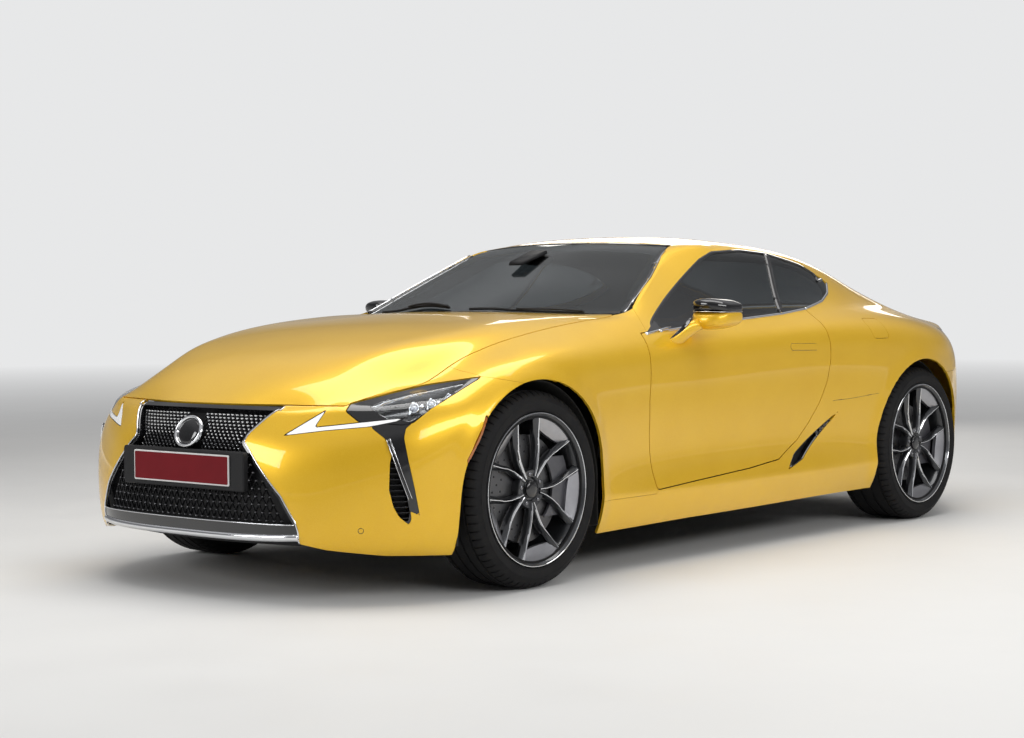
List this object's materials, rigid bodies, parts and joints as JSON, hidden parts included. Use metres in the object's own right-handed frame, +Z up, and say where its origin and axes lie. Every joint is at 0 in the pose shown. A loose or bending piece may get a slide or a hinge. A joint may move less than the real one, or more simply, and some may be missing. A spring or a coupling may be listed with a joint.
{
  "type": "coupe car",
  "caption": "Low two-door grand touring coupe with a waisted front grille, wide rear arches, a fastback roof and large multi-spoke wheels.",
  "frame": {"origin": "on the ground, midway along and across the car", "axes": "+X forwards, +Y to the car's left, +Z up"},
  "size_m": [4.7561, 2.068, 1.3465],
  "materials": {
    "body_paint": "gloss",
    "black_trim": "gloss",
    "glass": "gloss",
    "lamp_glass": "gloss",
    "red_lamp": "gloss",
    "underbody": "satin",
    "steel": "satin",
    "cast_iron": "matte",
    "caliper": "satin",
    "tyre": "matte",
    "rim": "satin",
    "leather": "matte",
    "dash": "matte",
    "plate": "satin"
  },
  "bodies": {
    "root": {"front_bumper": "body_paint", "rear_bumper": "body_paint", "fenders": "body_paint", "body_sides": "body_paint", "roof_panel": "body_paint", "grille": "black_trim", "cowl": "black_trim", "roof_rails": "black_trim", "wheel_liners": "black_trim", "windscreen": "glass", "rear_screen": "glass", "quarter_glass": "glass", "headlamps": "lamp_glass", "tail_lamps": "red_lamp", "floor_pan": "underbody", "front_subframe": "underbody", "rear_subframe": "underbody", "differential": "underbody", "suspension_arms": "underbody", "drive_shafts": "steel", "exhaust": "steel", "rear_knuckles": "cast_iron", "engine": "cast_iron", "rear_calipers": "caliper", "front_seats": "leather", "rear_seat": "leather", "dashboard": "dash", "centre_console": "dash", "plates": "plate"},
    "knuckle_fl": {"knuckle_left": "cast_iron", "front_caliper_left": "caliper"},
    "knuckle_fr": {"knuckle_right": "cast_iron", "front_caliper_right": "caliper"},
    "wheel_fl": {"tyre_front_left": "tyre", "rim_front_left": "rim", "disc_front_left": "steel"},
    "wheel_fr": {"tyre_front_right": "tyre", "rim_front_right": "rim", "disc_front_right": "steel"},
    "wheel_rl": {"tyre_rear_left": "tyre", "rim_rear_left": "rim", "disc_rear_left": "steel"},
    "wheel_rr": {"tyre_rear_right": "tyre", "rim_rear_right": "rim", "disc_rear_right": "steel"},
    "door_l": {"door_left": "body_paint", "door_glass_left": "glass", "mirror_left": "body_paint"},
    "door_r": {"door_right": "body_paint", "door_glass_right": "glass", "mirror_right": "body_paint"},
    "bonnet": {"bonnet": "body_paint"},
    "boot_lid": {"boot_lid": "body_paint"},
    "steering_wheel": {"steering_wheel": "leather"}
  },
  "joints": [
    {"name": "steer_left", "type": "hinge", "parent": "root", "child": "knuckle_fl", "pos_m": [1.465, 0.815, 0.3645], "axis": [0, 0, 1], "range_deg": [-32, 32]},
    {"name": "steer_right", "type": "hinge", "parent": "root", "child": "knuckle_fr", "pos_m": [1.465, -0.815, 0.3645], "axis": [0, 0, 1], "range_deg": [-32, 32]},
    {"name": "steering_wheel_turn", "type": "hinge", "parent": "root", "child": "steering_wheel", "pos_m": [0.3, 0.38, 0.82], "axis": [-0.9135, 0, 0.4067], "range_deg": [-416, 416]},
    {"name": "wheel_spin_front_left", "type": "hinge", "parent": "knuckle_fl", "child": "wheel_fl", "pos_m": [1.465, 0.815, 0.3645], "axis": [0, 1, 0], "continuous": true},
    {"name": "wheel_spin_front_right", "type": "hinge", "parent": "knuckle_fr", "child": "wheel_fr", "pos_m": [1.465, -0.815, 0.3645], "axis": [0, 1, 0], "continuous": true},
    {"name": "wheel_spin_rear_left", "type": "hinge", "parent": "root", "child": "wheel_rl", "pos_m": [-1.405, 0.8175, 0.363], "axis": [0, 1, 0], "continuous": true},
    {"name": "wheel_spin_rear_right", "type": "hinge", "parent": "root", "child": "wheel_rr", "pos_m": [-1.405, -0.8175, 0.363], "axis": [0, 1, 0], "continuous": true},
    {"name": "door_left_hinge", "type": "hinge", "parent": "root", "child": "door_l", "pos_m": [0.752, 0.934, 0.62], "axis": [0, 0, -1], "range_deg": [0, 65]},
    {"name": "door_right_hinge", "type": "hinge", "parent": "root", "child": "door_r", "pos_m": [0.752, -0.934, 0.62], "axis": [0, 0, 1], "range_deg": [0, 65]},
    {"name": "bonnet_hinge", "type": "hinge", "parent": "root", "child": "bonnet", "pos_m": [0.698, 0, 0.986], "axis": [0, -1, 0], "range_deg": [0, 50]},
    {"name": "boot_lid_hinge", "type": "hinge", "parent": "root", "child": "boot_lid", "pos_m": [-1.848, 0, 0.994], "axis": [0, 1, 0], "range_deg": [0, 70]}
  ],
  "couplings": [
    {"joint": "steer_right", "follows": "steer_left", "ratio": 1},
    {"joint": "steering_wheel_turn", "follows": "steer_left", "ratio": 13}
  ]
}
